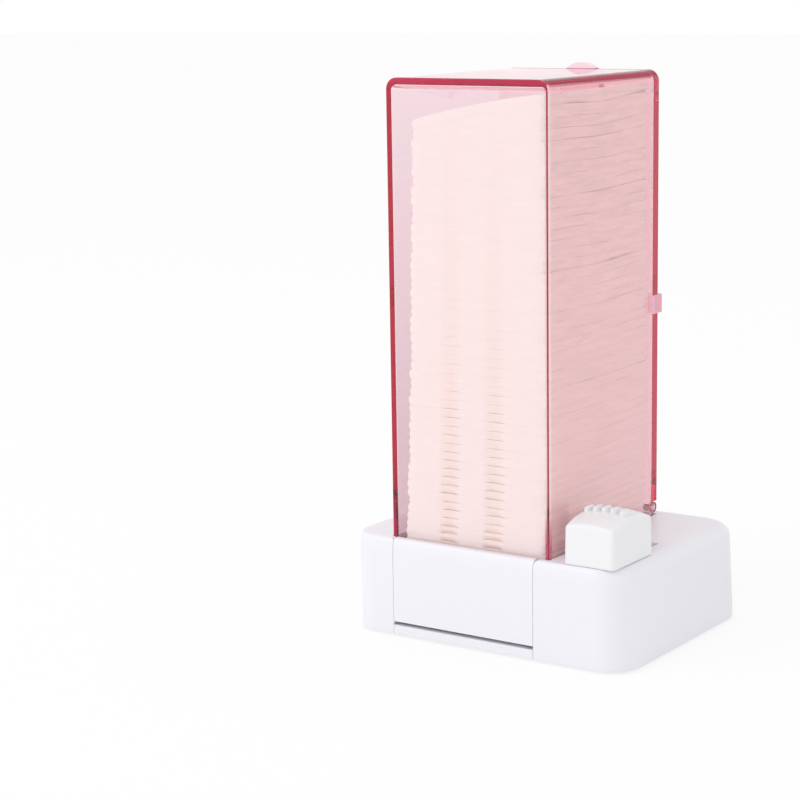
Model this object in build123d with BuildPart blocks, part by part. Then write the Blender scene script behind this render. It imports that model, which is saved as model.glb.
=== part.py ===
import os
from math import cos, radians, sin

from build123d import *

os.makedirs("parts", exist_ok=True)

# A dispenser for square cotton pads: a clear tower of pads on a white base with a push slider.
# Millimetres, +X to the right, +Y to the back, +Z up, origin on the floor under the base's middle.

# Cotton pads, which everything else is sized round, packed tighter towards the bottom
pad_width = 50.0
pad_depth = 60.0
pad_corner_r = 4.0
pad_pressed = 2.4
pad_loose = 3.25
pad_parting = 0.05
pad_count = 58
pad_lean = 3.4
pad_front_play = 0.2
pad_rear_play = 3.6
head_room = 6.05

# Fits, running gaps and the overrun of cuts
seam = 0.15
seat_gap = 0.2
run_gap = 0.3
pin_play = 0.05
screw_play = 0.02
overrun = 2.0

# Tower and its rear door
tower_wall = 1.3
tower_roof = 2.0
tower_edge_r = 3.6
tower_front_r = 0.35
tower_inner_r = 0.6
tower_inner_edge_r = 1.8
skirt_depth = 6.0
snap_length = 12.0
snap_height = 2.8
snap_reach = 1.2
snap_shares = (0.25, 0.68)
door_thick = 3.6
barrel_r = 1.8
barrel_lift = 0.7
hinge_pin_r = 1.0
hinge_pin_length = 8.0
lug_height = 5.9
lug_out = 1.0
lug_back = 1.4
lug_grip = 5.0
lug_reach = 9.0
lug_edge_r = 0.5
lug_height_share = 0.484
tab_width = 10.1
tab_rise = 2.0

# Base housing
base_height = 31.3
base_wall = 2.3
front_wall = 3.2
base_roof = 2.3
base_corner_r = 10.0
base_back_round = 4.8
base_front_round = 1.6
base_round_steps = 6
base_flare = 1.0
left_margin = 15.2
cutout_r = 1.5
slot_corner_r = 1.0
boss_r = 2.2
boss_inset = 2.2
boss_setback = 8.5

# Floor of the base
foot_stand = 0.8
foot_recess = 0.8
foot_r = 4.5
foot_edge_r = 0.4
foot_inset = 12.5
cover_thick = 2.0
bed_thick = 0.9
exit_height = 1.2
exit_lead = 1.5
peg_r = 1.5
peg_length = 1.6
bed_peg_spread_shares = (0.12, 0.88)
panel_peg_length = 2.0
panel_peg_spread = 18.0
panel_chamfer = 0.8

# Pad well
well_side_play = 1.05
well_left_wall = 1.8
well_right_wall = 4.1
well_lead = 8.0
well_back_play = 0.4
well_back_wall = 2.5
well_shelf_thick = 2.0
well_shelf_drop = 0.5
ear_reach = 4.4
ear_length = 8.0
ear_thick = 2.0
ear_back_share = 0.8
ear_front_share = 0.3

# Slider, carriage and pusher blade
slider_travel = 25.0
slider_gap = 5.65
slider_width = 17.6
slider_length = 24.7
slider_height = 12.7
slider_crown = 2.4
slider_lift = 0.15
slider_corner_r = 1.6
slider_edge_r = 1.5
slider_taper = 1.0
slider_wall = 1.8
slider_setback = 1.7
slider_right_margin = 4.45
rib_count = 5
rib_pitch = 3.05
rib_width = 1.7
rib_length = 4.2
rib_height = 1.5
rib_setback = 11.2
rib_edge_r = 0.3
stem_width = 8.6
stem_length = 9.2
stem_height = 7.5
flange_thick = 1.8
flange_lap = 0.65
flange_tail = 28.0
flange_setback = 0.6
web_thick = 3.0
web_setback = 2.2
web_tail = 5.0
runner_thick = 2.5
runner_left_reach = 5.5
runner_right_reach = 2.0
rail_floor = 0.9
rail_lip = 1.5
rail_lip_rise = 2.0
rail_peg_shares = (0.2, 0.7)
blade_thick = 1.0
blade_length = 9.9
blade_clear = 1.3
blade_rear_clear = 1.3
blade_side = 1.5
blade_edge_r = 3.0
blade_window_gap = 0.6
neck_length = 9.2
riser_gap = 0.9
riser_width = 2.0
blade_tab_thick = 2.0
blade_tab_gap = 0.3

# Self-tapping screws
screw_r = 0.75
screw_head_r = 1.5
screw_head = 1.2
cover_screw_length = 8.0
ear_screw_length = 3.4
blade_screw_length = 3.8
button_screw_length = 15.5
blade_screw_spread = 5.5

# Floor heights
cover_top = foot_stand + cover_thick
bed_top = cover_top + bed_thick
exit_top = bed_top + exit_height
blade_bottom = bed_top + run_gap
blade_top = blade_bottom + blade_thick
stack_bottom = blade_top + run_gap
base_top = foot_stand + base_height
roof_under = base_top - base_roof
skirt_bottom = base_top - skirt_depth
stack_top = stack_bottom + pad_count * (pad_pressed + pad_loose) / 2
tower_top = stack_top + head_room + tower_roof

# Outer sizes of the tower and the base
tower_width = well_left_wall + pad_width + 2 * well_side_play + well_right_wall
tower_depth = tower_wall + pad_front_play + pad_depth + pad_rear_play + door_thick
base_width = left_margin + tower_width + slider_gap + slider_width + slider_right_margin
cavity_depth = tower_wall + pad_front_play + pad_depth + blade_clear + blade_length + blade_rear_clear
base_depth = front_wall + cavity_depth + base_wall + base_flare

# Limits along X
base_left = -base_width / 2
base_right = base_width / 2
tower_left = base_left + left_margin
tower_right = tower_left + tower_width
tower_x = (tower_left + tower_right) / 2
inner_left = tower_left + tower_wall
inner_right = tower_right - tower_wall
well_left = tower_left + well_left_wall
well_right = tower_right - well_right_wall
pad_x = (well_left + well_right) / 2
cavity_left = base_left + base_wall
cavity_right = base_right - base_flare - base_wall
slider_x = tower_right + slider_gap + slider_width / 2

# Limits along Y
base_front = -base_depth / 2
base_back = base_depth / 2
cavity_front = base_front + front_wall
cavity_back = cavity_front + cavity_depth
tower_front = cavity_front
tower_back = tower_front + tower_depth
inner_front = tower_front + tower_wall
pad_front = inner_front + pad_front_play
pad_back = pad_front + pad_depth
pad_y = (pad_front + pad_back) / 2
door_front = tower_back - door_thick
roof_back = door_front - run_gap
slider_front = base_front + slider_setback
slider_y = slider_front + slider_length / 2
rib_y = slider_front + rib_setback
stem_front = slider_front + slider_wall + seat_gap
stem_back = stem_front + stem_length
stem_y = (stem_front + stem_back) / 2
blade_front = pad_back + blade_clear - slider_travel
blade_back = blade_front + blade_length
neck_front = blade_back - neck_length

# Limits of the carriage and its rail
slider_bottom = base_top + slider_lift
slider_top = slider_bottom + slider_height
flange_top = roof_under - run_gap
flange_bottom = flange_top - flange_thick
stem_top = slider_bottom + stem_height
web_front = stem_back + web_setback
runner_left = slider_x - web_thick / 2 - runner_left_reach
runner_right = slider_x + web_thick / 2 + runner_right_reach
runner_bottom = cover_top + rail_floor + run_gap
runner_top = runner_bottom + runner_thick
rail_left = runner_left - run_gap - rail_lip
rail_right = runner_right + run_gap + rail_lip
rail_front = web_front - run_gap
rail_back = blade_back + slider_travel + run_gap
flange_back = stem_back + flange_tail
riser_left = tower_right + riser_gap

# Door hinge line, inside the foot of the door
pivot_y = tower_back - barrel_r
pivot_z = base_top + barrel_lift + barrel_r
door_foot = pivot_z + barrel_r + run_gap
hinge_line = Plane(origin=(0, pivot_y, pivot_z), x_dir=(0, 1, 0), z_dir=(1, 0, 0))

# Places of the fasteners and feet
boss_places = [
    (x, y)
    for x in (cavity_left + boss_inset, cavity_right - boss_inset)
    for y in (cavity_front + boss_setback, cavity_back - boss_setback)
]
ear_places = [
    (tower_left - ear_reach / 2, tower_front + ear_front_share * tower_depth),
    (tower_left - ear_reach / 2, tower_front + ear_back_share * tower_depth),
    (tower_right + ear_reach / 2, tower_front + ear_front_share * tower_depth),
]
blade_screw_x = (runner_left + slider_x - web_thick / 2) / 2
blade_screw_y = (neck_front + blade_back) / 2
blade_screw_places = [
    (blade_screw_x, blade_screw_y - blade_screw_spread / 2),
    (blade_screw_x, blade_screw_y + blade_screw_spread / 2),
]
bed_peg_places = [
    (tower_x, cavity_front + share * cavity_depth) for share in bed_peg_spread_shares
]
rail_x = (rail_left + rail_right) / 2
rail_peg_places = [
    (rail_x, rail_front + share * (rail_back - rail_front)) for share in rail_peg_shares
]
foot_places = {
    "front_left": (base_left + foot_inset, base_front + foot_inset),
    "front_right": (base_right - foot_inset, base_front + foot_inset),
    "back_left": (base_left + foot_inset, base_back - foot_inset),
    "back_right": (base_right - foot_inset, base_back - foot_inset),
}


def block(x_limits, y_limits, z_limits, mode=Mode.ADD):
    """A box between its limits along each axis."""
    low, high = zip(x_limits, y_limits, z_limits)
    with Locations(tuple((a + b) / 2 for a, b in zip(low, high))):
        Box(*[b - a for a, b in zip(low, high)], mode=mode)


def rod(place, radius, z_limits, mode=Mode.ADD):
    """An upright cylinder between two heights."""
    low, high = z_limits
    with Locations((*place, (low + high) / 2)):
        Cylinder(radius, high - low, mode=mode)


def screw(place, seat, length, up):
    """A pan-head screw whose head sits against the height seat, with its shank going up or down."""
    if up:
        rod(place, screw_head_r, (seat - screw_head, seat))
        rod(place, screw_r, (seat, seat + length))
    else:
        rod(place, screw_head_r, (seat, seat + screw_head))
        rod(place, screw_r, (seat - length, seat))


def save(piece, name):
    """Labels a finished piece and writes it."""
    piece.part.label = name
    export_step(piece.part, f"parts/{name}.step")


# Base housing: straight walls that flare to the floor, then a round that is wide at the back and right
flare_left = well_left - cutout_r
flare_right = well_right + cutout_r
with BuildPart() as base_housing:
    for height, back_inset in ((foot_stand, 0), (base_top - base_back_round, base_flare)):
        with BuildSketch(Plane.XY.offset(height)):
            with Locations((-back_inset / 2, -back_inset / 2)):
                RectangleRounded(
                    base_width - back_inset,
                    base_depth - back_inset,
                    base_corner_r - back_inset / 2,
                )
    loft(ruled=True)
    for step in range(base_round_steps + 1):
        turn = radians(90 * step / base_round_steps)
        back_inset = base_flare + base_back_round * (1 - cos(turn))
        front_inset = base_front_round * (1 - cos(turn))
        both = front_inset + back_inset
        with BuildSketch(Plane.XY.offset(base_top - base_back_round * (1 - sin(turn)))):
            with Locations(((front_inset - back_inset) / 2, (front_inset - back_inset) / 2)):
                RectangleRounded(base_width - both, base_depth - both, base_corner_r - both / 2)
    loft()
    with BuildSketch(Plane.XY.offset(foot_stand)):
        with Locations(((cavity_left + cavity_right) / 2, (cavity_front + cavity_back) / 2)):
            RectangleRounded(cavity_right - cavity_left, cavity_depth, base_corner_r - base_wall)
    extrude(amount=base_height - base_roof, mode=Mode.SUBTRACT)
    for place in boss_places:
        rod(place, boss_r, (cover_top, roof_under + base_roof / 2))
    for place in boss_places:
        rod(place, screw_r + screw_play, (cover_top, cover_top + cover_screw_length), Mode.SUBTRACT)
    block(
        (tower_left - seat_gap, tower_right + seat_gap),
        (tower_front - seat_gap, tower_back + seat_gap),
        (roof_under - overrun, base_top + overrun),
        Mode.SUBTRACT,
    )
    with BuildSketch(Plane.XZ.offset(-base_front + overrun)):
        with BuildLine():
            Line((well_left, foot_stand - overrun), (well_right, foot_stand - overrun))
            Line((well_right, foot_stand - overrun), (well_right, base_top - cutout_r))
            RadiusArc((well_right, base_top - cutout_r), (flare_right, base_top), cutout_r)
            Polyline(
                (flare_right, base_top),
                (flare_right, base_top + overrun),
                (flare_left, base_top + overrun),
                (flare_left, base_top),
            )
            RadiusArc((flare_left, base_top), (well_left, base_top - cutout_r), cutout_r)
            Line((well_left, base_top - cutout_r), (well_left, foot_stand - overrun))
        make_face()
    extrude(amount=-(front_wall + 2 * overrun), mode=Mode.SUBTRACT)
    with BuildSketch(Plane.XY.offset(roof_under - overrun)):
        with Locations((slider_x, (stem_front + stem_back + slider_travel) / 2)):
            RectangleRounded(
                stem_width + 2 * run_gap,
                stem_length + slider_travel + 2 * run_gap,
                slot_corner_r,
            )
    extrude(amount=base_roof + 2 * overrun, mode=Mode.SUBTRACT)
save(base_housing, "base_housing")

# Bottom cover: closes the housing, with pockets for the feet and sunk screw heads
cover_seat = foot_stand + screw_head + seam
ear_screw_tip = cover_top + ear_thick - ear_screw_length
with BuildPart() as bottom_cover:
    with BuildSketch(Plane.XY.offset(foot_stand)):
        with Locations(((cavity_left + cavity_right) / 2, (cavity_front + cavity_back) / 2)):
            RectangleRounded(
                cavity_right - cavity_left - 2 * seat_gap,
                cavity_depth - 2 * seat_gap,
                base_corner_r - base_wall - seat_gap,
            )
    extrude(amount=cover_thick)
    for place in foot_places.values():
        rod(place, foot_r + seam, (foot_stand - overrun, foot_stand + foot_recess), Mode.SUBTRACT)
    for place in boss_places:
        rod(place, screw_head_r + seam, (foot_stand - overrun, cover_seat), Mode.SUBTRACT)
        rod(place, screw_r + seam, (cover_seat, cover_top + overrun), Mode.SUBTRACT)
    for place in ear_places:
        rod(place, screw_r + screw_play, (ear_screw_tip - seat_gap, cover_top), Mode.SUBTRACT)
    for place in bed_peg_places + rail_peg_places:
        rod(place, peg_r + screw_play, (cover_top - peg_length, cover_top), Mode.SUBTRACT)
save(bottom_cover, "bottom_cover")

# Rubber feet, set in the cover's pockets
for corner, place in foot_places.items():
    with BuildPart() as rubber_foot:
        rod(place, foot_r, (0, foot_stand + foot_recess))
        fillet(rubber_foot.edges().group_by(Axis.Z)[0], foot_edge_r)
    save(rubber_foot, f"rubber_foot_{corner}")

# Pad bed: the smooth floor that the lowest pad slides on, turned down at the front as a lip
with BuildPart() as pad_bed:
    bed_limits = (well_left + seam, well_right - seam)
    block(bed_limits, (base_front, cavity_back - seat_gap), (cover_top, bed_top))
    block(bed_limits, (base_front, cavity_front), (foot_stand, bed_top))
    for place in bed_peg_places:
        rod(place, peg_r, (cover_top - peg_length, cover_top))
save(pad_bed, "pad_bed")

# Pad well: carries the tower's inner faces down to the bed, open under the pusher's path
well_back_inner = pad_back + well_back_play
well_back = well_back_inner + well_back_wall
window_top = blade_top + blade_window_gap
shelf_top = base_top - well_shelf_drop
panel_peg_z = (exit_top + skirt_bottom) / 2
with BuildPart() as pad_well:
    block((tower_left, tower_right), (tower_front, well_back), (cover_top, skirt_bottom))
    block(
        (well_left, well_right),
        (inner_front, well_back_inner),
        (cover_top - overrun, skirt_bottom + overrun),
        Mode.SUBTRACT,
    )
    with BuildSketch(Plane.XZ.offset(-inner_front)):
        with BuildLine():
            Polyline(
                (well_left, skirt_bottom - well_lead),
                (well_right, skirt_bottom - well_lead),
                (inner_right, skirt_bottom),
                (inner_left, skirt_bottom),
                close=True,
            )
        make_face()
    extrude(amount=-(well_back_inner - inner_front), mode=Mode.SUBTRACT)
    block(
        (well_left, well_right),
        (tower_front - overrun, inner_front + overrun),
        (cover_top - overrun, exit_top + exit_lead),
        Mode.SUBTRACT,
    )
    block(
        (well_left, tower_right + overrun),
        (well_back_inner - overrun, well_back + overrun),
        (cover_top - overrun, window_top),
        Mode.SUBTRACT,
    )
    block(
        (well_right - overrun, tower_right + overrun),
        (neck_front - blade_window_gap, well_back + overrun),
        (cover_top - overrun, window_top),
        Mode.SUBTRACT,
    )
    block(
        (inner_left + run_gap, inner_right - run_gap),
        (well_back_inner, well_back),
        (skirt_bottom, shelf_top),
    )
    block(
        (inner_left + run_gap, inner_right - run_gap),
        (well_back_inner, tower_back),
        (shelf_top - well_shelf_thick, shelf_top),
    )
    for x, y in ear_places:
        block(
            (x - ear_reach / 2, x + ear_reach / 2),
            (y - ear_length / 2, y + ear_length / 2),
            (cover_top, cover_top + ear_thick),
        )
    for place in ear_places:
        rod(place, screw_r + seam, (cover_top - overrun, cover_top + ear_thick + overrun), Mode.SUBTRACT)
    with BuildSketch(Plane.XZ.offset(-tower_front)):
        with Locations((pad_x, panel_peg_z)):
            with GridLocations(2 * panel_peg_spread, 0, 2, 1):
                Circle(peg_r)
    extrude(amount=panel_peg_length)
save(pad_well, "pad_well")

# Front panel: fills the housing's front cut-out above the exit slot, held on the well's pegs
with BuildPart() as front_panel:
    with BuildSketch(Plane.YZ.offset(well_left + seam)):
        with BuildLine():
            Line((base_front, base_top - base_back_round), (base_front, exit_top))
            Line((base_front, exit_top), (cavity_front - panel_chamfer, exit_top))
            Line((cavity_front - panel_chamfer, exit_top), (cavity_front, exit_top + panel_chamfer))
            Line((cavity_front, exit_top + panel_chamfer), (cavity_front, skirt_bottom))
            Line((cavity_front, skirt_bottom), (cavity_front - seat_gap, skirt_bottom))
            Line((cavity_front - seat_gap, skirt_bottom), (cavity_front - seat_gap, base_top))
            Line((cavity_front - seat_gap, base_top), (base_front + base_front_round, base_top))
            EllipticalCenterArc(
                (base_front + base_front_round, base_top - base_back_round),
                base_front_round,
                base_back_round,
                start_angle=90,
                arc_size=90,
            )
        make_face()
    extrude(amount=well_right - well_left - 2 * seam)
    with BuildSketch(Plane.XZ.offset(-cavity_front)):
        with Locations((pad_x, panel_peg_z)):
            with GridLocations(2 * panel_peg_spread, 0, 2, 1):
                Circle(peg_r + screw_play)
    extrude(amount=panel_peg_length + seat_gap, mode=Mode.SUBTRACT)
save(front_panel, "front_panel")

# Slide rail: a shallow channel on the cover that guides the carriage
with BuildPart() as slide_rail:
    block((rail_left, rail_right), (rail_front, rail_back), (cover_top, cover_top + rail_floor))
    for x in (rail_left, rail_right - rail_lip):
        block((x, x + rail_lip), (rail_front, rail_back), (cover_top, runner_bottom + rail_lip_rise))
    for place in rail_peg_places:
        rod(place, peg_r, (cover_top - peg_length, cover_top))
save(slide_rail, "slide_rail")

# Tower shell: front, sides and roof in one clear moulding, open at the back, with two hinge ears
with BuildPart() as tower_shell:
    block((tower_left, tower_right), (tower_front, roof_back), (skirt_bottom, tower_top))
    fillet(tower_shell.edges().filter_by(Axis.Y).group_by(Axis.Z)[-1], tower_edge_r)
    fillet(tower_shell.faces().sort_by(Axis.Y)[0].edges().sort_by(Axis.Z)[1:], tower_front_r)
    block(
        (inner_left, inner_right),
        (inner_front, roof_back + overrun),
        (skirt_bottom - overrun, tower_top - tower_roof),
        Mode.SUBTRACT,
    )
    inner_edges = tower_shell.edges().filter_by(Axis.Z)
    fillet(inner_edges.filter_by_position(Axis.Y, inner_front - seam, inner_front + seam), tower_inner_r)
    roof_edges = tower_shell.edges().filter_by(Axis.Y)
    roof_limits = (tower_top - tower_roof - seam, tower_top - tower_roof + seam)
    fillet(roof_edges.filter_by_position(Axis.Z, *roof_limits), tower_inner_edge_r)
    for x in (tower_left, inner_right):
        block(
            (x, x + tower_wall),
            (roof_back - overrun, pivot_y),
            (pivot_z - barrel_r, pivot_z + barrel_r),
        )
        with BuildSketch(hinge_line.offset(x)):
            Circle(barrel_r)
        extrude(amount=tower_wall)
    with BuildSketch(hinge_line.offset(tower_left - overrun)):
        Circle(hinge_pin_r + screw_play)
    extrude(amount=tower_width + 2 * overrun, mode=Mode.SUBTRACT)
    for x in (tower_left - snap_reach, tower_right):
        for share in snap_shares:
            y = tower_front + share * tower_depth
            block(
                (x, x + snap_reach),
                (y - snap_length / 2, y + snap_length / 2),
                (roof_under - run_gap - snap_height, roof_under - run_gap),
            )
save(tower_shell, "tower_shell")

# Rear door: a clear plate behind the tower's walls, with a hinge barrel, a thumb tab and two side lugs
door_left = inner_left + run_gap
door_right = inner_right - run_gap
lug_z = base_top + lug_height_share * (tower_top - base_top)
lug_limits = (lug_z - lug_height / 2, lug_z + lug_height / 2)
tab_r = (tab_width**2 / 4 + tab_rise**2) / (2 * tab_rise)
pin_depth = hinge_pin_length - tower_wall - run_gap + seat_gap
with BuildPart() as rear_door:
    block((tower_left, tower_right), (door_front, tower_back), (door_foot, tower_top))
    fillet(rear_door.edges().filter_by(Axis.Y).group_by(Axis.Z)[-1], tower_edge_r)
    block((door_left, door_right), (door_front, tower_back), (pivot_z, door_foot))
    with BuildSketch(hinge_line.offset(door_left)):
        Circle(barrel_r)
    extrude(amount=door_right - door_left)
    with BuildSketch(Plane.XZ.offset(-tower_back)):
        with Locations((tower_x, tower_top + tab_rise - tab_r)):
            Circle(tab_r)
    extrude(amount=-door_thick)
    block((tower_right - lug_reach, tower_right), (tower_back, tower_back + lug_back), lug_limits)
    block((tower_right, tower_right + lug_out), (door_front, tower_back + lug_back), lug_limits)
    block(
        (tower_right + run_gap, tower_right + lug_out),
        (tower_back - lug_grip, door_front),
        lug_limits,
    )
    lug_corner = rear_door.edges().filter_by(Axis.Z).sort_by(Axis.X)[-2:]
    fillet(lug_corner, lug_edge_r)
    block((tower_left, tower_left + lug_reach), (tower_back, tower_back + lug_back), lug_limits)
    block((tower_left - lug_out, tower_left), (door_front, tower_back + lug_back), lug_limits)
    block(
        (tower_left - lug_out, tower_left - run_gap),
        (tower_back - lug_grip, door_front),
        lug_limits,
    )
    lug_corner = rear_door.edges().filter_by(Axis.Z).sort_by(Axis.X)[:2]
    fillet(lug_corner, lug_edge_r)
    for end in (door_left, door_right - pin_depth):
        with BuildSketch(hinge_line.offset(end)):
            Circle(hinge_pin_r + pin_play)
        extrude(amount=pin_depth, mode=Mode.SUBTRACT)
save(rear_door, "rear_door")

# Hinge pins, pressed into the tower's sides from outside
for side, start in (("left", tower_left), ("right", tower_right - hinge_pin_length)):
    with BuildPart() as hinge_pin:
        with BuildSketch(hinge_line.offset(start)):
            Circle(hinge_pin_r)
        extrude(amount=hinge_pin_length)
    save(hinge_pin, f"hinge_pin_{side}")

# Slider button: a crowned hollow cap with grip ribs, seated on the carriage's stem
crown_r = ((slider_length / 2) ** 2 + slider_crown**2) / (2 * slider_crown)
crown_place = (slider_x, slider_y, slider_top + slider_crown - crown_r)
cap_under = slider_top - slider_wall
button_screw_tip = flange_bottom + button_screw_length
with BuildPart() as slider_button:
    with BuildSketch(Plane.XY.offset(slider_bottom)):
        with Locations((slider_x, slider_y)):
            RectangleRounded(slider_width, slider_length, slider_corner_r)
    extrude(amount=slider_height + slider_crown, taper=slider_taper)
    with Locations(crown_place):
        Sphere(crown_r, rotation=(90, 0, 0), mode=Mode.INTERSECT)
    fillet(slider_button.faces().sort_by(Axis.Z)[-1].edges(), slider_edge_r)
    with BuildSketch(Plane.XY.offset(cap_under)):
        with Locations((slider_x, rib_y)):
            with GridLocations(rib_pitch, 0, rib_count, 1):
                SlotOverall(rib_length, rib_width, rotation=90)
    extrude(amount=slider_wall + slider_crown + rib_height)
    with Locations(crown_place):
        Sphere(crown_r + rib_height, rotation=(90, 0, 0), mode=Mode.INTERSECT)
    fillet(slider_button.faces().sort_by(Axis.Z)[-rib_count:].edges(), rib_edge_r)
    with BuildSketch(Plane.XY.offset(slider_bottom)):
        with Locations((slider_x, slider_y)):
            Rectangle(slider_width - 2 * slider_wall, slider_length - 2 * slider_wall)
    extrude(amount=cap_under - slider_bottom, mode=Mode.SUBTRACT)
    block(
        (slider_x - stem_width / 2, slider_x + stem_width / 2),
        (stem_front, stem_back),
        (stem_top, cap_under + slider_wall / 2),
    )
    rod((slider_x, stem_y), screw_r + screw_play, (stem_top, button_screw_tip + seat_gap), Mode.SUBTRACT)
save(slider_button, "slider_button")

# Slider carriage: a stem through the roof's slot, a flange under the roof, a web and a runner
with BuildPart() as slider_carriage:
    flange_half = stem_width / 2 + run_gap + flange_lap
    block(
        (slider_x - flange_half, slider_x + flange_half),
        (stem_front + flange_setback, flange_back),
        (flange_bottom, flange_top),
    )
    with BuildSketch(Plane.XY.offset(flange_top)):
        with Locations((slider_x, stem_y)):
            RectangleRounded(stem_width, stem_length, slot_corner_r - run_gap)
    extrude(amount=stem_top - flange_top)
    with BuildSketch(Plane.YZ.offset(slider_x - web_thick / 2)):
        with BuildLine():
            Polyline(
                (web_front, runner_top),
                (blade_back, runner_top),
                (blade_back, runner_top + web_tail),
                (flange_back, flange_bottom),
                (web_front, flange_bottom),
                close=True,
            )
        make_face()
    extrude(amount=web_thick)
    block((runner_left, runner_right), (web_front, blade_back), (runner_bottom, runner_top))
    rod((slider_x, stem_y), screw_r + seam, (flange_bottom - overrun, stem_top + overrun), Mode.SUBTRACT)
    for place in blade_screw_places:
        rod(place, screw_r + screw_play, (runner_bottom - overrun, runner_top), Mode.SUBTRACT)
save(slider_carriage, "slider_carriage")

# Pusher blade: a thin plate under the stack, stepped over the rail's lip to the runner
blade_right = well_right - blade_side
riser_right = riser_left + riser_width
blade_tab_top = runner_top + blade_tab_thick
with BuildPart() as pusher_blade:
    block((well_left + blade_side, blade_right), (blade_front, blade_back), (blade_bottom, blade_top))
    fillet(pusher_blade.edges().filter_by(Axis.Z).group_by(Axis.Y)[0], blade_edge_r)
    block((blade_right, riser_right), (neck_front, blade_back), (blade_bottom, blade_top))
    block((riser_left, riser_right), (neck_front, blade_back), (blade_bottom, blade_tab_top))
    block(
        (riser_left, slider_x - web_thick / 2 - blade_tab_gap),
        (neck_front, blade_back),
        (runner_top, blade_tab_top),
    )
    for place in blade_screw_places:
        rod(place, screw_r + seam, (runner_top, blade_tab_top), Mode.SUBTRACT)
save(pusher_blade, "pusher_blade")

# Screws: four hold the cover, three the well, two the blade and one the button
with BuildPart() as cover_screws:
    for place in boss_places:
        screw(place, cover_seat, cover_screw_length, up=True)
save(cover_screws, "cover_screws")

with BuildPart() as well_screws:
    for place in ear_places:
        screw(place, cover_top + ear_thick, ear_screw_length, up=False)
save(well_screws, "well_screws")

with BuildPart() as blade_screws:
    for place in blade_screw_places:
        screw(place, blade_tab_top, blade_screw_length, up=False)
save(blade_screws, "blade_screws")

with BuildPart() as button_screw:
    screw((slider_x, stem_y), flange_bottom, button_screw_length, up=True)
save(button_screw, "button_screw")

# Cotton pads: separate soft pads, thinner where the stack's weight presses them, in a leaning stack
with BuildPart() as cotton_pads:
    pad_bottom = stack_bottom
    for number in range(pad_count):
        rise = number / (pad_count - 1)
        pitch = pad_pressed + (pad_loose - pad_pressed) * rise
        with BuildSketch(Plane.XY.offset(pad_bottom)):
            with Locations((pad_x + pad_lean * rise, pad_y)):
                RectangleRounded(pad_width, pad_depth, pad_corner_r)
        extrude(amount=pitch - pad_parting)
        pad_bottom += pitch
save(cotton_pads, "cotton_pads")
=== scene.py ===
"""Looks of a cotton pad dispenser: a clear tinted tower of soft pads on a white base with a slider."""

import math
import random

import bpy
from bpy.props import FloatProperty, FloatVectorProperty, IntProperty, PointerProperty
from mathutils import Matrix, Vector


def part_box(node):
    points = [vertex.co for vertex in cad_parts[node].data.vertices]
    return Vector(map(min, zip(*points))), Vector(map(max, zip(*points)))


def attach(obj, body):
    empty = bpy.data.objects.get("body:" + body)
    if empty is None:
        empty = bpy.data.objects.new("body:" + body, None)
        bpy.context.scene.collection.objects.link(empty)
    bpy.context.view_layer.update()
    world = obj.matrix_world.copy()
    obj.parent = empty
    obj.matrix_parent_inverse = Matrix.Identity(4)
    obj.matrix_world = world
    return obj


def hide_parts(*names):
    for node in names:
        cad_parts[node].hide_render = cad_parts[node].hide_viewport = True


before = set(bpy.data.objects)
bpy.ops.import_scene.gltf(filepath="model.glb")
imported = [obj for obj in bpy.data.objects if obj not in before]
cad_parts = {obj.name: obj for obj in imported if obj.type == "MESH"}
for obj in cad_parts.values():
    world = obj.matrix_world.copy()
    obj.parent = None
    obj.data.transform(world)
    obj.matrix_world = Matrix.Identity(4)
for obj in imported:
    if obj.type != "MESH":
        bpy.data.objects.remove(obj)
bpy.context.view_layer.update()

bl_info = {
    "name": "Cotton Pad Dispenser",
    "version": (1, 0, 0),
    "blender": (4, 5, 0),
    "location": "3D View > Sidebar > Dispenser",
    "description": "Dresses a packed cotton pad dispenser with soft pads, finishes and a studio",
    "category": "Object",
}

MM = 0.001
TINY = 1e-6
WHITE = (1.0, 1.0, 1.0)
pad_low, pad_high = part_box("cotton_pads")
tower_low, tower_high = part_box("tower_shell")
door_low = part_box("rear_door")[0]
stack_height = pad_high.z - pad_low.z

# Tower: a step just past a face, how far its snaps stand out, its walls, and its foot, whose corners get
# painted shade
HAIR = 0.1 * MM
SNAP = 1.2 * MM
WALL = 1.3 * MM
FOOT = 22 * MM

# How far in the tower's top edges get a painted deep colour for light piped along the walls and its corners
# at the foot a painted shade, and over how much they fade
EDGE_BAND = 2.0 * MM
EDGE_BLEND = 0.5 * MM
CORNER_BAND = 1.7 * MM
CORNER_BLEND = 0.4 * MM

# Where the first pad is cut: steps in from its rim, then shares of half a groove and half a pad
RIM_CUTS = (0.08 * MM, 0.3 * MM, 0.75 * MM, 1.5 * MM)
GROOVE_CUTS = (-1, -0.6, -0.25, 0.25, 0.6, 1)
ACROSS_CUTS = (-0.8, -0.55, 0.0, 0.6, 0.8)
ALONG_CUTS = (-0.8, -0.55, -0.3, 0.0, 0.3, 0.55, 0.8)

# What chance gives each pad: how hard it is pressed, how airy its furrows are and how far it is turned
PRESS = (0.3, 1.2)
AIR = (0.3, 1.3)
TWIST = math.radians(0.25)

# How airy the furrows of the lowest pad are, and how much more those of the top one
AIR_LOW = 0.15
AIR_MORE = 0.85

# Powers that keep a form to the front rim, the side rims or the top of the stack
FRONT_ONLY = 8
SIDE_ONLY = 24
TOP_ONLY = 4

# How a rim gets thinner, in shares of the pad's thickness, and how much of its room a pad fills
RIM_LOOSE = 0.012
LEFT_LOOSE = 0.1
FRONT_TIGHT = 0.03
FURROW_LOOSE = 0.015
BROAD_LOOSE = 0.012
FINE_LOOSE = 0.006
FILLED = 0.998

# Waves over a pad, in radians to the metre, as pairs where they run across and along
BROAD_WAVE = (60, 110)
FINE_WAVE = (310, -260)
CROSS_SWELL = (-60, 150)
SWELL_ACROSS = 95
SWELL_ALONG = 70
RIM_WAVE = 220
FURROW_WAVE = 170

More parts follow.
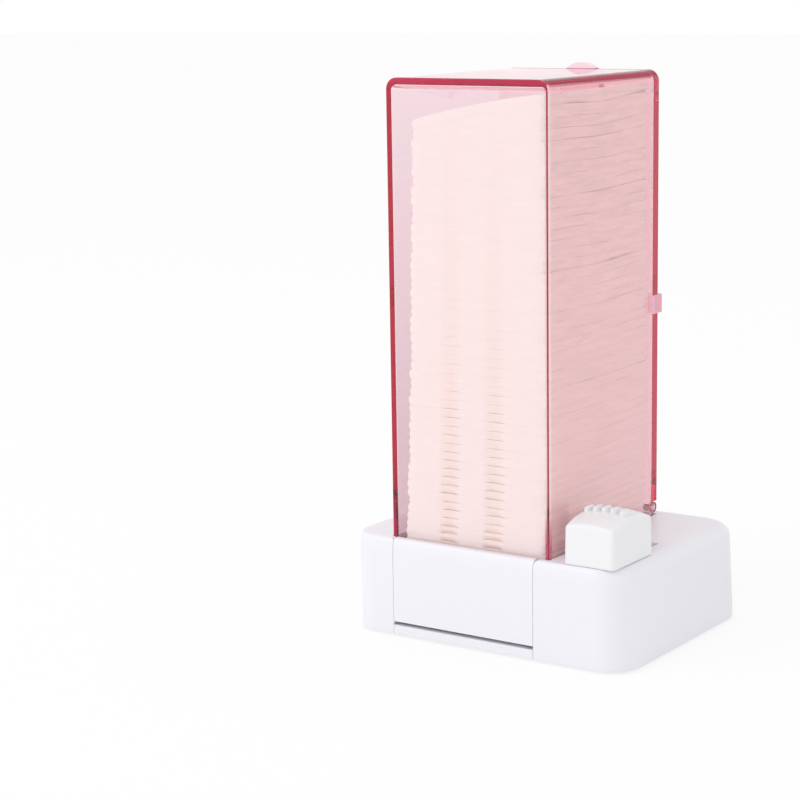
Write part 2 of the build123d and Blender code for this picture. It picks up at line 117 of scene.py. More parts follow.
# Where the swells across and along start, in radians
ACROSS_START = 2.0
ALONG_START = 0.6

# Shares of the stack's swell, the furrows' depth, the rim's wander and the top's rise
CROSS_SHARE = 0.6
FURROW_MEAN = 0.6
FURROW_SWING = 0.4
RIM_SWAY = 0.5
FRONT_CALM = 0.9
HEAVE_FRONT = 0.8
HEAVE_BACK = 0.2

# Powers that give the groove's section, the hang at the left and the rise at the right their curves
GROOVE_CURVE = 0.7
SLUMP_CURVE = 1.5
HEAVE_CURVE = 0.7

# Largest angle between faces that are shaded as one smooth surface
SMOOTH = math.radians(50)

# Height over which the pads spread at the tower's foot, and how far they may reach
FUNNEL = 8 * MM
PAST_RIGHT = 0.25 * MM
PAST_FRONT = 0.1 * MM
DOOR_GAP = 0.15 * MM

# Cotton: depth of the front rims, what painted shade in a groove keeps of each colour, and the painted shade
# streaks at the side
FRONT_RIMS = 1.0 * MM
GROOVE_SHADE_KEPT = (0.95, 0.9, 0.85)
STREAK_LEVEL = 0.65
STREAK_CONTRAST = 3.0

# Studio, in metres, with the camera's sensor in millimetres as its lens is
FLOOR_SIZE = 12.0
FLOOR_TONE = (0.97, 0.97, 0.97)
LAMP_PLACE = (-0.75, -1.05, 0.95)
LAMP_AIM = (0.0, 0.0, 0.08)
LAMP_SIZE = 0.9
SENSOR = 36.0
CLIP_START = 0.01


def colour(label, words, default):
    """A colour that a user may change."""
    return FloatVectorProperty(name=label, description=words, subtype="COLOR", default=default, min=0, max=1)


def length(label, words, default):
    """A length that a user may change, in metres."""
    return FloatProperty(name=label, description=words, subtype="DISTANCE", unit="LENGTH", default=default)


def angle(label, words, degrees):
    """An angle that a user may change."""
    return FloatProperty(name=label, description=words, subtype="ANGLE", default=math.radians(degrees))


def share(label, words, default):
    """A plain number from 0 upwards that a user may change."""
    return FloatProperty(name=label, description=words, default=default, min=0)


class DispenserPads(bpy.types.PropertyGroup):
    """Sizes of the stack of cotton pads."""

    count: IntProperty(name="Pads", description="How many pads the stack holds", default=58, min=1)
    pressed: length("Pressed", "Thickness of the lowest pad", 2.4 * MM)
    loose: length("Loose", "Thickness of the top pad", 3.25 * MM)
    lean: length("Lean", "How far the top pad lies to the right of the lowest", 3.4 * MM)
    bow: length("Bow", "How much further the middle of the stack lies to the right", 0.9 * MM)
    spread: length("Spread", "How far the pressed pads above the base spread to the right", 2.3 * MM)
    narrow: share("Narrow", "Share of its half width that the top pad draws in at the left", 0.08)
    corner: length("Corner", "Radius of a pad's corners", 2.5 * MM)
    edge: length("Edge", "How far in from its rim a pad gets thinner", 0.7 * MM)
    groove: length("Groove", "Half the width of a pressed groove", 3.8 * MM)
    groove_place: length("Groove place", "How far a groove lies from the pad's middle", 8.0 * MM)
    deepest: share("Deepest grooves", "Share of its thickness that a groove takes in the lowest pads", 0.4)
    easing: share("Easing", "How quickly the grooves close further up the stack", 5.0)
    fade: length("Fade", "How far in from the rim a groove gets shallower", 0.4 * MM)
    sideways: length("Sideways", "How far a pad may lie off the middle", 0.45 * MM)
    stretch: length("Stretch", "How far the pads grow towards the back, up to the door's lugs", 2.9 * MM)
    backwards: length("Backwards", "How far a pad may lie behind the front of the stack", 0.12 * MM)
    bulge: length("Bulge", "How far the middle of a pad's left or right rim stands out", 0.35 * MM)
    furrow: length("Furrow", "How far the right rims draw in between the upper pads", 1.0 * MM)
    groove_in: length("Groove in", "How far the front rims draw in at the grooves", 1.0 * MM)
    ragged: length("Ragged", "How far the rim wanders", 0.12 * MM)
    slump: length("Slump", "How far the top of the stack hangs at the left", 6.0 * MM)
    heave: length("Heave", "How far the top of the stack rises at the right", 4.6 * MM)
    wave: length("Wave", "Height of the waves in the upper pads", 0.5 * MM)
    seed: IntProperty(name="Seed", description="Seed of the random offsets", default=7)


class DispenserColours(bpy.types.PropertyGroup):
    """Colours of the finishes."""

    tint: colour("Tower tint", "What the clear plastic lets through", (0.86, 0.06, 0.3))
    density: share("Tint density", "How strongly the clear plastic takes up light", 57.0)
    # Side, left and door tints are painted shade: deeper than the front's plain tint, for how light falls on
    # the tower's sides, roof and door
    side: colour("Side tint", "Deeper tint of the tower's right side and roof", (0.96, 0.75, 0.76))
    shaded_left_low: colour("Low left tint", "Tint of the tower's left side at its foot", (0.66, 0.49, 0.54))
    shaded_left_high: colour("High left tint", "Tint of the tower's left side at its top", (0.97, 0.87, 0.89))
    door: colour("Door tint", "Tint of the rear door", (0.95, 0.8, 0.83))
    # Edge tint and share: a painted deep colour on the tower's top edges for light piped along the walls,
    # and painted shade at its foot corners
    edge: colour("Edge tint", "Deep colour of the tower's top edges and foot corners", (0.55, 0.06, 0.12))
    deep_paint_share: share("Edge share", "How much of the deep colour those edges hold", 0.6)
    lug: colour("Lug tint", "Pale colour of the rear door's side lugs", (0.9, 0.58, 0.68))
    lug_share: share("Lug share", "How much of their pale colour the lugs hold", 0.7)
    tab: colour("Tab tint", "Pale colour of the rear door's thumb tab", (0.96, 0.87, 0.96))
    tab_share: share("Tab share", "How much of its pale colour the tab holds", 0.95)
    haze: colour("Haze", "What a face of the tower lets through of soft light", (1.0, 0.99, 0.98))
    shell: colour("Base white", "Moulded plastic of the base", (0.86, 0.86, 0.91))
    slider: colour("Slider white", "Moulded plastic of the slider", (0.87, 0.87, 0.89))
    inner: colour("Inner white", "Plain plastic inside the base", (0.72, 0.72, 0.74))
    steel: colour("Steel", "Plated screws and pins", (0.55, 0.56, 0.58))
    rubber: colour("Rubber", "Feet", (0.32, 0.32, 0.33))
    cotton: colour("Cotton", "Pressed cotton wool", (0.965, 0.95, 0.915))


class DispenserStudio(bpy.types.PropertyGroup):
    """Camera and light."""

    lens: FloatProperty(name="Lens", description="Focal length in millimetres", default=98.955)
    place: FloatVectorProperty(
        name="Place", description="Where the camera stands", subtype="TRANSLATION", unit="LENGTH",
        default=(0.35625, -0.59535, 0.2084),
    )
    turn: angle("Turn", "How far the camera is turned", 34.8)
    dip: angle("Dip", "How far the camera looks down", 10.97)
    roll: angle("Roll", "How far the camera is tipped sideways", -0.95)
    ambient: share("Ambient", "Strength of the light from all round", 0.91)
    key: share("Key", "Watts of the lamp at the front left", 4.6)
    lift: share("Lift", "Share of plain white in the floor that the camera sees", 0.8)
    bounces: IntProperty(name="Bounces", description="How often light may bounce", default=40, min=0)


class Wire:
    """A shader socket that can be used in sums."""

    def __init__(self, sheet, socket):
        self.sheet = sheet
        self.socket = socket

    def math(self, operation, *values):
        """A Math node on sockets and numbers."""
        sockets = dict(enumerate(values))
        return self.sheet.node("ShaderNodeMath", {"operation": operation}, sockets)

    def __add__(self, other):
        return self.math("ADD", self, other)

    def __sub__(self, other):
        return self.math("SUBTRACT", self, other)

    def __mul__(self, other):
        return self.math("MULTIPLY", self, other)

    def __rsub__(self, other):
        return self.math("SUBTRACT", other, self)

    def __abs__(self):
        return self.math("ABSOLUTE", self)

    __radd__ = __add__
    __rmul__ = __mul__

    def most(self, other):
        """The larger of two values."""
        return self.math("MAXIMUM", self, other)

    def least(self, other):
        """The smaller of two values."""
        return self.math("MINIMUM", self, other)

    def over(self, limit):
        """1 where the value is over a limit, and 0 elsewhere."""
        return self.math("GREATER_THAN", self, limit)

    def under(self, limit):
        """1 where the value is under a limit, and 0 elsewhere."""
        return self.math("LESS_THAN", self, limit)

    def clamped(self):
        """The value, held between 0 and 1."""
        return self.most(0.0).least(1.0)

    def fading(self, limit, blend):
        """1 where the value is well under a limit, going down to 0 over a blend before it."""
        return ((limit - self) * (1 / blend)).clamped()


class Finish:
    """A material or world being wired up, one node at a time."""

    def __init__(self, owner):
        owner.use_nodes = True
        self.owner = owner
        self.tree = owner.node_tree
        self.tree.nodes.clear()

    def node(self, kind, settings=None, sockets=None, out=0):
        """Adds a node with its settings and its sockets' values or links, and gives back one output."""
        made = self.tree.nodes.new(kind)
        for name, value in (settings or {}).items():
            setattr(made, name, value)
        for name, value in (sockets or {}).items():
            if isinstance(value, Wire):
                self.tree.links.new(value.socket, made.inputs[name])
            elif made.inputs[name].type == "RGBA":
                made.inputs[name].default_value = (*value, 1.0)
            else:
                made.inputs[name].default_value = value
        return Wire(self, made.outputs[out])

    def place(self, scale=(1.0, 1.0, 1.0)):
        """The piece's own coordinates, stretched."""
        spot = self.node("ShaderNodeTexCoord", out="Object")
        return self.node("ShaderNodeMapping", None, {"Vector": spot, "Scale": scale})

    def axes(self):
        """The piece's own coordinates, one value for each axis."""
        split = {0: self.place()}
        return [self.node("ShaderNodeSeparateXYZ", None, split, out=axis) for axis in "XYZ"]

    def noise(self, scale, detail=3.0, rough=0.5, stretch=(1.0, 1.0, 1.0)):
        """Cloudy values from 0 to 1, scale cells to the metre."""
        return self.node(
            "ShaderNodeTexNoise",
            None,
            {"Vector": self.place(stretch), "Scale": scale, "Detail": detail, "Roughness": rough},
        )

    def between(self, factor, low, high):
        """A colour between two, by a factor."""
        sockets = {0: factor, 6: low, 7: high}
        return self.node("ShaderNodeMix", {"data_type": "RGBA"}, sockets, out=2)

    def bump(self, height, strength, distance):
        """A normal that follows a fine relief."""
        return self.node(
            "ShaderNodeBump", None, {"Height": height, "Strength": strength, "Distance": distance}
        )

    def principled(self, **sockets):
        """A Principled shader, with underscores for the spaces in its sockets' names."""
        named = {name.replace("_", " "): value for name, value in sockets.items()}
        return self.node("ShaderNodeBsdfPrincipled", None, named)

    def diffuse(self, tone):
        """A matt shader of one colour."""
        return self.node("ShaderNodeBsdfDiffuse", None, {"Color": tone})

    def mixed(self, factor, low, high):
        """A shader between two, by a factor."""
        return self.node("ShaderNodeMixShader", None, {0: factor, 1: low, 2: high})

    def ray(self, kind):
        """1 for light of one kind, such as Is Camera Ray."""
        return self.node("ShaderNodeLightPath", out=kind)

    def show(self, surface, volume=None):
        """Sends a shader, and any volume, to the output, and gives back the material or world."""
        world = isinstance(self.owner, bpy.types.World)
        output = self.tree.nodes.new("ShaderNodeOutputWorld" if world else "ShaderNodeOutputMaterial")
        self.tree.links.new(surface.socket, output.inputs["Surface"])
        if volume is not None:
            self.tree.links.new(volume.socket, output.inputs["Volume"])
        return self.owner


def finish(name):
    """A new material, ready to be wired up."""
    return Finish(bpy.data.materials.new(name))


def dim(tone, factor):
    """A colour with all its parts turned down alike."""
    return tuple(factor * part for part in tone)


def moulded_plastic(name, tone, roughness):
    """Satin moulded plastic with a fine spark-eroded grain and faint handling marks."""
    sheet = finish(name)
    cloud = sheet.noise(scale=38.0, detail=4.0, rough=0.55)
    grain = sheet.noise(scale=5200.0, detail=2.0, rough=0.6)
    marked = 0.1
    return sheet.show(
        sheet.principled(
            Base_Color=sheet.between(cloud, dim(tone, 0.985), tone),
            Roughness=cloud * marked + (roughness - marked / 2) + grain * 0.04,
            Normal=sheet.bump(grain, strength=0.12, distance=0.02 * MM),
            IOR=1.5,
        )
    )


def wall_tint(sheet, colours, across, depth, height):
    """Tint of the tower's walls, with painted shade: none at the front, deeper at the right, the left and
    the door.
    """
    behind_front = depth.over(tower_low.y + WALL + HAIR)
    at_left = across.under(tower_low.x + SNAP + WALL + HAIR)
    at_door = depth.over(door_low.y - HAIR)
    rise = (height - tower_low.z) * (1 / (tower_high.z - tower_low.z))
    # The left wall's painted shade gets darker towards its foot
    left = sheet.between(rise, colours.shaded_left_low, colours.shaded_left_high)
    walls = sheet.between(behind_front, WHITE, colours.side)
    walls = sheet.between(behind_front * at_left, walls, left)
    return sheet.between(at_door, walls, colours.door)


def plain_shares(sheet, glass, colours, across, depth, height):
    """Mixes plain colour into the tower: a painted deep colour on its top edges for light piped along the
    walls, painted shade at its foot corners, and pale colour on the door's lugs and tab.
    """
    across_rim = (across - (tower_low.x + SNAP)).least((tower_high.x - SNAP) - across)
    along_rim = (depth - tower_low.y).least(tower_high.y - depth)
    rim = across_rim.least(along_rim).most(tower_high.z - height)
    # Painted deep colour along the top edges, and painted shade at the foot corners
    deep_paint_mask = rim.fading(EDGE_BAND, EDGE_BLEND) * height.under(tower_high.z + HAIR)
    corner_shade_mask = across_rim.most(along_rim).fading(CORNER_BAND, CORNER_BLEND)
    at_foot = height.fading(tower_low.z + FOOT, FOOT / 2)
    deep_paint_mask = deep_paint_mask.most(corner_shade_mask * at_foot)
    at_lug = across_rim.under(-HAIR)
    at_tab = height.over(tower_high.z + HAIR)
    glass = sheet.mixed(deep_paint_mask * colours.deep_paint_share, glass, sheet.diffuse(colours.edge))
    glass = sheet.mixed(at_lug * colours.lug_share, glass, sheet.diffuse(colours.lug))
    return sheet.mixed(at_tab * colours.tab_share, glass, sheet.diffuse(colours.tab))


def clear_plastic(name, colours):
    """Clear tinted plastic whose edges go deep, helped by a painted deep colour on its top edges and painted
    shade at its foot corners, with lamp light let through to what it holds.
    """
    sheet = finish(name)
    across, depth, height = sheet.axes()
    flow = sheet.noise(scale=45.0, detail=2.0, rough=0.4)
    smear = sheet.noise(scale=120.0, detail=5.0, rough=0.6)
    glass = sheet.principled(
        Base_Color=wall_tint(sheet, colours, across, depth, height),
        Roughness=smear * 0.05,
        Normal=sheet.bump(flow, strength=0.04, distance=0.3 * MM),
        IOR=1.49,
        Transmission_Weight=1.0,
    )
    glass = plain_shares(sheet, glass, colours, across, depth, height)
    let_through = sheet.ray("Is Shadow Ray").most(sheet.ray("Is Diffuse Ray"))
    open_way = sheet.node("ShaderNodeBsdfTransparent", None, {"Color": colours.haze})
    tinting = {"Color": colours.tint, "Density": colours.density}
    volume = sheet.node("ShaderNodeVolumeAbsorption", None, tinting)
    return sheet.show(sheet.mixed(let_through, glass, open_way), volume)


def cotton_wool(name, tone, sizes):
    """Pressed cotton wool: matt, soft, with fine fibres, painted shade in streaks between the pads at the
    side, and a warm painted shade where the grooves are pressed.
    """
    sheet = finish(name)
    across, along, height = sheet.axes()
    rise = (height - pad_low.z) * (1 / stack_height)
    beside = along.over(pad_low.y + FRONT_RIMS)
    middle = (pad_low.x + pad_high.x - sizes.lean) / 2
    offset = across - (rise * sizes.lean + middle)
    offset = (abs(offset) - sizes.groove_place) * (1 / sizes.groove)
    # Painted shade in the pressed grooves' recesses, fading out up the stack
    groove = (1.0 - offset * offset).most(0.0) * (1.0 - rise)
    fibre = sheet.noise(scale=2600.0, detail=5.0, rough=0.7, stretch=(1.0, 1.0, 2.5))
    tuft = sheet.noise(scale=420.0, detail=4.0, rough=0.6)
    streak = sheet.noise(scale=330.0, detail=4.0, rough=0.65, stretch=(0.5, 0.3, 2.4))
    fluff = fibre * 0.6 + tuft * 0.4
    # Painted shade between the pads: broad streaks at the side, stronger higher up, over faint fibre streaks
    # everywhere
    streak_shade_share = beside * rise * 0.8 + 0.2
    shade = (STREAK_LEVEL - streak) * STREAK_CONTRAST * streak_shade_share
    wool = sheet.between(shade.clamped(), tone, dim(tone, 0.84))
    groove_shade = tuple(part * kept for part, kept in zip(tone, GROOVE_SHADE_KEPT))
    return sheet.show(
        sheet.principled(
            Base_Color=sheet.between(groove * (0.6 + tuft), wool, groove_shade),
            Roughness=0.95,
            Normal=sheet.bump(fluff, strength=0.5, distance=0.12 * MM),
            Sheen_Weight=0.25,
            Sheen_Roughness=0.6,
        )
    )


def plated_steel(name, tone):
    """Plain plated steel with fine turning marks."""
    sheet = finish(name)
    marks = sheet.noise(scale=2400.0, detail=3.0, rough=0.6, stretch=(1.0, 1.0, 0.15))
    cloud = sheet.noise(scale=300.0)
    return sheet.show(
        sheet.principled(
            Base_Color=sheet.between(cloud, dim(tone, 0.86), tone),
            Metallic=1.0,
            Roughness=marks * 0.18 + 0.22,
            Normal=sheet.bump(marks, strength=0.15, distance=0.02 * MM),
        )
    )


def foot_rubber(name, tone):
    """Matt rubber with a dusty bloom."""
    sheet = finish(name)
    dust = sheet.noise(scale=700.0, detail=5.0, rough=0.7)
    return sheet.show(
        sheet.principled(
            Base_Color=sheet.between(dust, dim(tone, 0.8), tone),
            Roughness=dust * 0.15 + 0.72,
            Normal=sheet.bump(dust, strength=0.2, distance=0.05 * MM),
        )
    )


def dress(material, *nodes):
    """Gives CAD nodes a finish."""
    for name in nodes:
        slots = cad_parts[name].data.materials
        slots.clear()
        slots.append(material)


def settle(piece, body, slot, *stood_for):
    """Puts a finished piece on its body and in place of its CAD nodes; its slot is not used."""
    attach(piece, body)
    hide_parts(*stood_for)


def ripple(x, y, wave, start):
    """A wave that runs over a pad both across and along."""
    return math.sin(wave[0] * x + wave[1] * y + start)


def dip(offset):
    """A groove's section: 1 at its middle and 0 past its sides."""
    return max(0.0, 1 - offset * offset) ** GROOVE_CURVE


class SoftPad:
    """One pad of the stack, with the chances that make it unlike its neighbours."""

    def __init__(self, sizes, half, height, pitch, chance):
        self.sizes = sizes
        self.half = half
        self.height = height
        self.pitch = pitch
        self.chance = chance
        self.rise = (height - pad_low.z) / stack_height
        self.clear = min(1.0, max(0.0, (height - tower_low.z) / FUNNEL + 1))
        self.core = Vector((half.x - sizes.corner, half.y - sizes.corner))
        self.middle = Vector((pad_low.x + half.x, pad_low.y + half.y))
        self.press = chance.uniform(*PRESS)
        self.depth = self.press * min(sizes.deepest, 2 * sizes.deepest * (1 - self.rise) ** sizes.easing)
        aside = chance.uniform(-1, 1) * sizes.sideways
        behind = chance.uniform(0, 1) * sizes.backwards
        self.shift = Vector((aside, behind))
        self.shift.x += sizes.lean * self.rise + sizes.bow * 4 * self.rise * (1 - self.rise)
        self.turn = chance.uniform(-1, 1) * TWIST
        self.rim_start = chance.uniform(0, math.tau)
        self.broad_start = chance.uniform(0, math.tau)
        self.fine_start = chance.uniform(0, math.tau)
        self.furrow_start = chance.uniform(0, math.tau)
        self.airy = (AIR_LOW + AIR_MORE * self.rise**2) * chance.uniform(*AIR)

    def shape(self, mesh):
        """Rounds the pad's corners and rim, presses its grooves and lays it in the stack."""
        for vertex in mesh.vertices:
            vertex.co = self.moved(*vertex.co)

    def moved(self, x, y, z):
        """Where a point of the first pad lies on this one."""
        sizes = self.sizes
        half = self.half
        inset = max(0.0, min(half.x - abs(x), half.y - abs(y)))
        at_front = max(0.0, -y / half.y) ** FRONT_ONLY
        at_left = max(0.0, -x / half.x) ** SIDE_ONLY
        at_right = max(0.0, x / half.x) ** SIDE_ONLY
        furrow = FURROW_MEAN + FURROW_SWING * math.sin(FURROW_WAVE * y + self.furrow_start)
        furrow = at_right * self.airy * furrow
        groove = dip((abs(x) - sizes.groove_place) / sizes.groove)

        loose = RIM_LOOSE + LEFT_LOOSE * at_left - FRONT_TIGHT * at_front
        loose += FURROW_LOOSE * furrow
        loose += BROAD_LOOSE * (1 - at_front) * ripple(x, y, BROAD_WAVE, self.broad_start)
        loose += FINE_LOOSE * ripple(x, y, FINE_WAVE, self.fine_start)
        near = min(1.0, inset / sizes.edge)
        full = 1 - max(0.0, loose) * (1 - near) ** 2
        pressed = groove * max(0.0, 1 - (half.y - abs(y)) / sizes.fade)
        thick = self.pitch * FILLED * full * (1 - self.depth * pressed)
        z = 0.0 if abs(z) < TINY else math.copysign(thick / 2, z)

        x, y = self.rounded(x, y)
        if inset < TINY:
            stands_out = at_left + at_right * (1 - self.rise) if z == 0 else 0.0
            x, y = self.frayed(x, y, 1 - FRONT_CALM * at_front, stands_out)
        x, y = self.laid(x, y)
        if z:
            x -= sizes.furrow * furrow
            y += sizes.groove_in * at_front * groove * (1 - self.rise) ** 2 * self.press
        return x, y, self.bedded(x, y, z + self.height)

    def rounded(self, x, y):
        """Draws in a point of a corner, so that the corner is round."""
        over = Vector((max(0.0, abs(x) - self.core.x), max(0.0, abs(y) - self.core.y)))
        if over.x > 0 and over.y > 0:
            over *= max(over) / over.length
            x = math.copysign(self.core.x + over.x, x)
            y = math.copysign(self.core.y + over.y, y)
        return x, y

    def frayed(self, x, y, free, stands_out):
        """Lets a point of the rim wander as far as it is free to, and the middle of a rim stand out."""
        away = Vector((x, y)).normalized()
        wander = self.chance.uniform(-1, 1) * self.sizes.ragged
        wander += RIM_SWAY * self.sizes.ragged * math.sin(RIM_WAVE * (x + y) + self.rim_start)
        out = wander * free + self.sizes.bulge * stands_out
        return x + away.x * out, y + away.y * out

    def laid(self, x, y):
        """Stretches, turns and shifts a point to its place in the tower, and keeps it in there."""
        sizes = self.sizes
        half = self.half
        y += sizes.stretch * (0.5 + y / (2 * half.y))
        x, y = x - self.turn * y, y + self.turn * x
        if x < 0:
            x *= 1 - sizes.narrow * self.rise**2
        else:
            x += sizes.spread * (1 - self.rise) * self.clear * x / half.x
        x = min(self.middle.x + x + self.shift.x, pad_high.x + PAST_RIGHT)
        y = max(self.middle.y + y + self.shift.y, pad_low.y - PAST_FRONT)
        return x, min(y, door_low.y - DOOR_GAP)

    def bedded(self, x, y, z):
        """Height of a point once the stack has its waves, its hang at the left and its rise at the right."""
        sizes = self.sizes
        level = (z - pad_low.z) / stack_height
        left = min(1.0, max(0.0, (pad_high.x - x) / (2 * self.half.x)))
        back = (y - pad_low.y) / (2 * self.half.y)
        swell = math.sin(SWELL_ACROSS * x + ACROSS_START) * math.cos(SWELL_ALONG * y + ALONG_START)
        swell += CROSS_SHARE * ripple(x, y, CROSS_SWELL, 0.0)
        z += sizes.wave * swell * level - sizes.slump * left**SLUMP_CURVE * level**TOP_ONLY
        lift = sizes.heave * (1 - left) ** HEAVE_CURVE * (HEAVE_FRONT + HEAVE_BACK * back)
        return z + lift * level**TOP_ONLY


class DISPENSER_OT_cotton_pads(bpy.types.Operator):
    """Models one soft pad, copies it up the stack and beds each copy down"""

    bl_idname = "dispenser.cotton_pads"
    bl_label = "Cotton Pads"

    def cut_pad(self, sizes, half):
        """A box of a pad's size, cut into a mesh that is close at its rim and grooves."""
        bpy.ops.object.select_all(action="DESELECT")
        bpy.ops.mesh.primitive_cube_add(size=1.0)
        pad = bpy.context.active_object
        bpy.ops.object.mode_set(mode="EDIT")
        bpy.ops.mesh.select_all(action="SELECT")
        bpy.ops.transform.resize(value=(2 * half.x, 2 * half.y, sizes.pressed))
        grooves = (-sizes.groove_place, sizes.groove_place)
        across = [side * (half.x - step) for step in RIM_CUTS for side in (-1, 1)]
        across += [place + part * sizes.groove for place in grooves for part in GROOVE_CUTS]
        across += [part * half.x for part in ACROSS_CUTS]
        along = [side * (half.y - step) for step in RIM_CUTS for side in (-1, 1)]
        along += [part * half.y for part in ALONG_CUTS]
        cuts = [((x, 0, 0), (1, 0, 0)) for x in across] + [((0, y, 0), (0, 1, 0)) for y in along]
        for point, normal in cuts + [((0, 0, 0), (0, 0, 1))]:
            bpy.ops.mesh.select_all(action="SELECT")
            bpy.ops.mesh.bisect(plane_co=point, plane_no=normal)
        bpy.ops.object.mode_set(mode="OBJECT")
        return pad

    def stacked(self, context, sizes):
        """The copies of the first pad, each shaped and laid on the one below."""
        half = (pad_high - pad_low - Vector((sizes.lean, 0, 0))) / 2
        first = self.cut_pad(sizes, half)
        chance = random.Random(sizes.seed)
        pads = []
        bottom = pad_low.z
        for number in range(sizes.count):
            rise = number / max(1, sizes.count - 1)
            pitch = sizes.pressed + (sizes.loose - sizes.pressed) * rise
            pad = first.copy()
            pad.data = first.data.copy()
            context.scene.collection.objects.link(pad)
            SoftPad(sizes, half, bottom + pitch / 2, pitch, chance).shape(pad.data)
            pads.append(pad)
            bottom += pitch
        bpy.data.objects.remove(first)
        return pads

    def execute(self, context):
        sizes = context.scene.dispenser_pads
        pads = self.stacked(context, sizes)
        bpy.ops.object.select_all(action="DESELECT")
        for pad in pads:
            pad.select_set(True)
        context.view_layer.objects.active = pads[0]
        bpy.ops.object.join()
        stack = context.active_object
        stack.name = "cotton_pad_stack"
        stack.data.name = "cotton_pad_stack"
        bpy.ops.object.shade_smooth_by_angle(angle=SMOOTH)
        stack.data.materials.clear()
        cotton = context.scene.dispenser_colours.cotton
        stack.data.materials.append(cotton_wool("pressed_cotton", cotton, sizes))
        settle(stack, "base", "cotton", "cotton_pads")
        return {"FINISHED"}


class DISPENSER_OT_clear_tower(bpy.types.Operator):
    """Gives the tower and its rear door their clear tinted plastic"""

    bl_idname = "dispenser.clear_tower"
    bl_label = "Clear Tower"

    def execute(self, context):
        plastic = clear_plastic("clear_tinted_plastic", context.scene.dispenser_colours)
        dress(plastic, "tower_shell", "rear_door")
        return {"FINISHED"}


class DISPENSER_OT_white_base(bpy.types.Operator):
    """Gives the base and the slider their moulded white plastic"""

    bl_idname = "dispenser.white_base"
    bl_label = "White Base"

    def execute(self, context):
        colours = context.scene.dispenser_colours
        shell = moulded_plastic("white_base_plastic", colours.shell, roughness=0.38)
        dress(shell, "base_housing", "front_panel", "pad_bed", "bottom_cover")
        slider = moulded_plastic("white_slider_plastic", colours.slider, roughness=0.42)
        dress(slider, "slider_button")
        return {"FINISHED"}


class DISPENSER_OT_inner_works(bpy.types.Operator):
    """Gives the hidden pieces, the fasteners and the feet their finishes"""

    bl_idname = "dispenser.inner_works"
    bl_label = "Inner Works"

    def execute(self, context):
        colours = context.scene.dispenser_colours
        inner = moulded_plastic("plain_inner_plastic", colours.inner, roughness=0.5)
        dress(inner, "pad_well", "slide_rail", "slider_carriage", "pusher_blade")
        steel = plated_steel("plated_steel", colours.steel)
        dress(steel, "hinge_pin_left", "hinge_pin_right")
        dress(steel, "cover_screws", "well_screws", "blade_screws", "button_screw")
        feet = [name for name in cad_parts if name.startswith("rubber_foot_")]
        dress(foot_rubber("foot_rubber", colours.rubber), *feet)
        return {"FINISHED"}


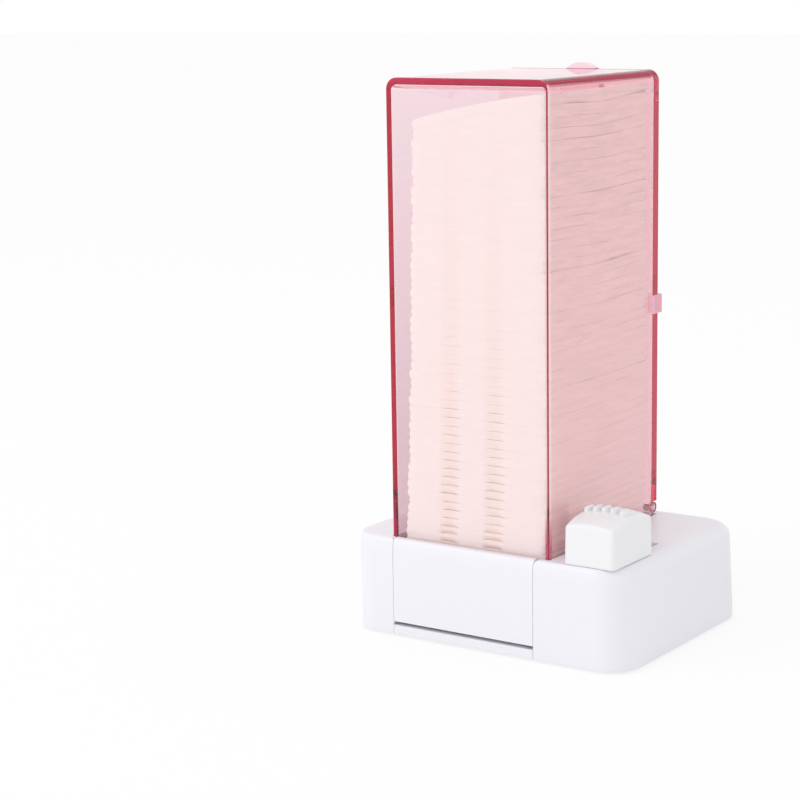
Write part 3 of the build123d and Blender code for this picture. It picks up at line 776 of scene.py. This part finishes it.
class DISPENSER_OT_studio(bpy.types.Operator):
    """Sets up the light from all round, the floor, the lamp and the camera"""

    bl_idname = "dispenser.studio"
    bl_label = "Studio"

    def execute(self, context):
        scene = context.scene
        studio = scene.dispenser_studio
        scene.view_settings.view_transform = "Standard"
        scene.cycles.max_bounces = studio.bounces
        scene.cycles.glossy_bounces = studio.bounces
        scene.cycles.transmission_bounces = studio.bounces
        self.light_all_round(scene, studio)
        self.floor(context, studio)
        self.lamp(scene, studio)
        self.camera(scene, studio)
        return {"FINISHED"}

    def seen_plainly(self, sheet):
        """1 for rays that show the background: from the camera, off gloss or through clear plastic."""
        seen = [sheet.ray(kind) for kind in ("Is Camera Ray", "Is Glossy Ray", "Is Transmission Ray")]
        return seen[0].most(seen[1]).most(seen[2])

    def light_all_round(self, scene, studio):
        """A white world, plain white where it is seen and a little dimmer as light."""
        scene.world = bpy.data.worlds.new("studio_light")
        sheet = Finish(scene.world)
        strength = self.seen_plainly(sheet) * (1.0 - studio.ambient) + studio.ambient
        sheet.show(sheet.node("ShaderNodeBackground", None, {"Color": WHITE, "Strength": strength}))

    def floor(self, context, studio):
        """A wide pale floor that keeps the dispenser's shadow."""
        bpy.ops.object.select_all(action="DESELECT")
        bpy.ops.mesh.primitive_plane_add(size=FLOOR_SIZE, location=(0.0, 0.0, 0.0))
        floor = context.active_object
        floor.name = "studio_floor"
        sheet = finish("pale_floor")
        plain = sheet.node("ShaderNodeEmission", None, {"Color": WHITE, "Strength": 1.0})
        factor = self.seen_plainly(sheet) * studio.lift
        floor.data.materials.append(sheet.show(sheet.mixed(factor, sheet.diffuse(FLOOR_TONE), plain)))

    def lamp(self, scene, studio):
        """A square soft lamp that faces the middle of the tower."""
        data = bpy.data.lights.new("key_lamp", "AREA")
        data.size = LAMP_SIZE
        data.energy = studio.key
        lamp = bpy.data.objects.new("key_lamp", data)
        scene.collection.objects.link(lamp)
        lamp.location = LAMP_PLACE
        aim = Vector(LAMP_AIM) - lamp.location
        lamp.rotation_euler = aim.to_track_quat("-Z", "Y").to_euler()

    def camera(self, scene, studio):
        """The camera, placed and turned so that the view is the photo's."""
        data = bpy.data.cameras.new("photo_camera")
        data.sensor_width = SENSOR
        data.lens = studio.lens
        data.clip_start = CLIP_START
        camera = bpy.data.objects.new("photo_camera", data)
        scene.collection.objects.link(camera)
        camera.location = studio.place
        aim = Matrix.Rotation(studio.turn, 3, "Z") @ Matrix.Rotation(math.pi / 2 - studio.dip, 3, "X")
        camera.rotation_euler = (aim @ Matrix.Rotation(studio.roll, 3, "Z")).to_euler()
        scene.camera = camera


class DISPENSER_PT_panel(bpy.types.Panel):
    """Lists the steps and the sizes and colours that they use"""

    bl_idname = "DISPENSER_PT_panel"
    bl_label = "Cotton Pad Dispenser"
    bl_space_type = "VIEW_3D"
    bl_region_type = "UI"
    bl_category = "Dispenser"

    def draw(self, context):
        for step in STEPS:
            self.layout.operator(step.bl_idname)
        for group, name in GROUPS.items():
            settings = getattr(context.scene, name)
            column = self.layout.column()
            for setting in group.__annotations__:
                column.prop(settings, setting)


STEPS = (
    DISPENSER_OT_cotton_pads,
    DISPENSER_OT_clear_tower,
    DISPENSER_OT_white_base,
    DISPENSER_OT_inner_works,
    DISPENSER_OT_studio,
)
GROUPS = {
    DispenserPads: "dispenser_pads",
    DispenserColours: "dispenser_colours",
    DispenserStudio: "dispenser_studio",
}


def register():
    for group, name in GROUPS.items():
        bpy.utils.register_class(group)
        setattr(bpy.types.Scene, name, PointerProperty(type=group))
    for item in (*STEPS, DISPENSER_PT_panel):
        bpy.utils.register_class(item)


def unregister():
    for item in (DISPENSER_PT_panel, *reversed(STEPS)):
        bpy.utils.unregister_class(item)
    for group, name in GROUPS.items():
        delattr(bpy.types.Scene, name)
        bpy.utils.unregister_class(group)


def main():
    register()
    bpy.ops.object.select_all(action="DESELECT")
    bpy.ops.dispenser.cotton_pads()
    bpy.ops.dispenser.clear_tower()
    bpy.ops.dispenser.white_base()
    bpy.ops.dispenser.inner_works()
    bpy.ops.dispenser.studio()


if __name__ == "__main__":
    main()
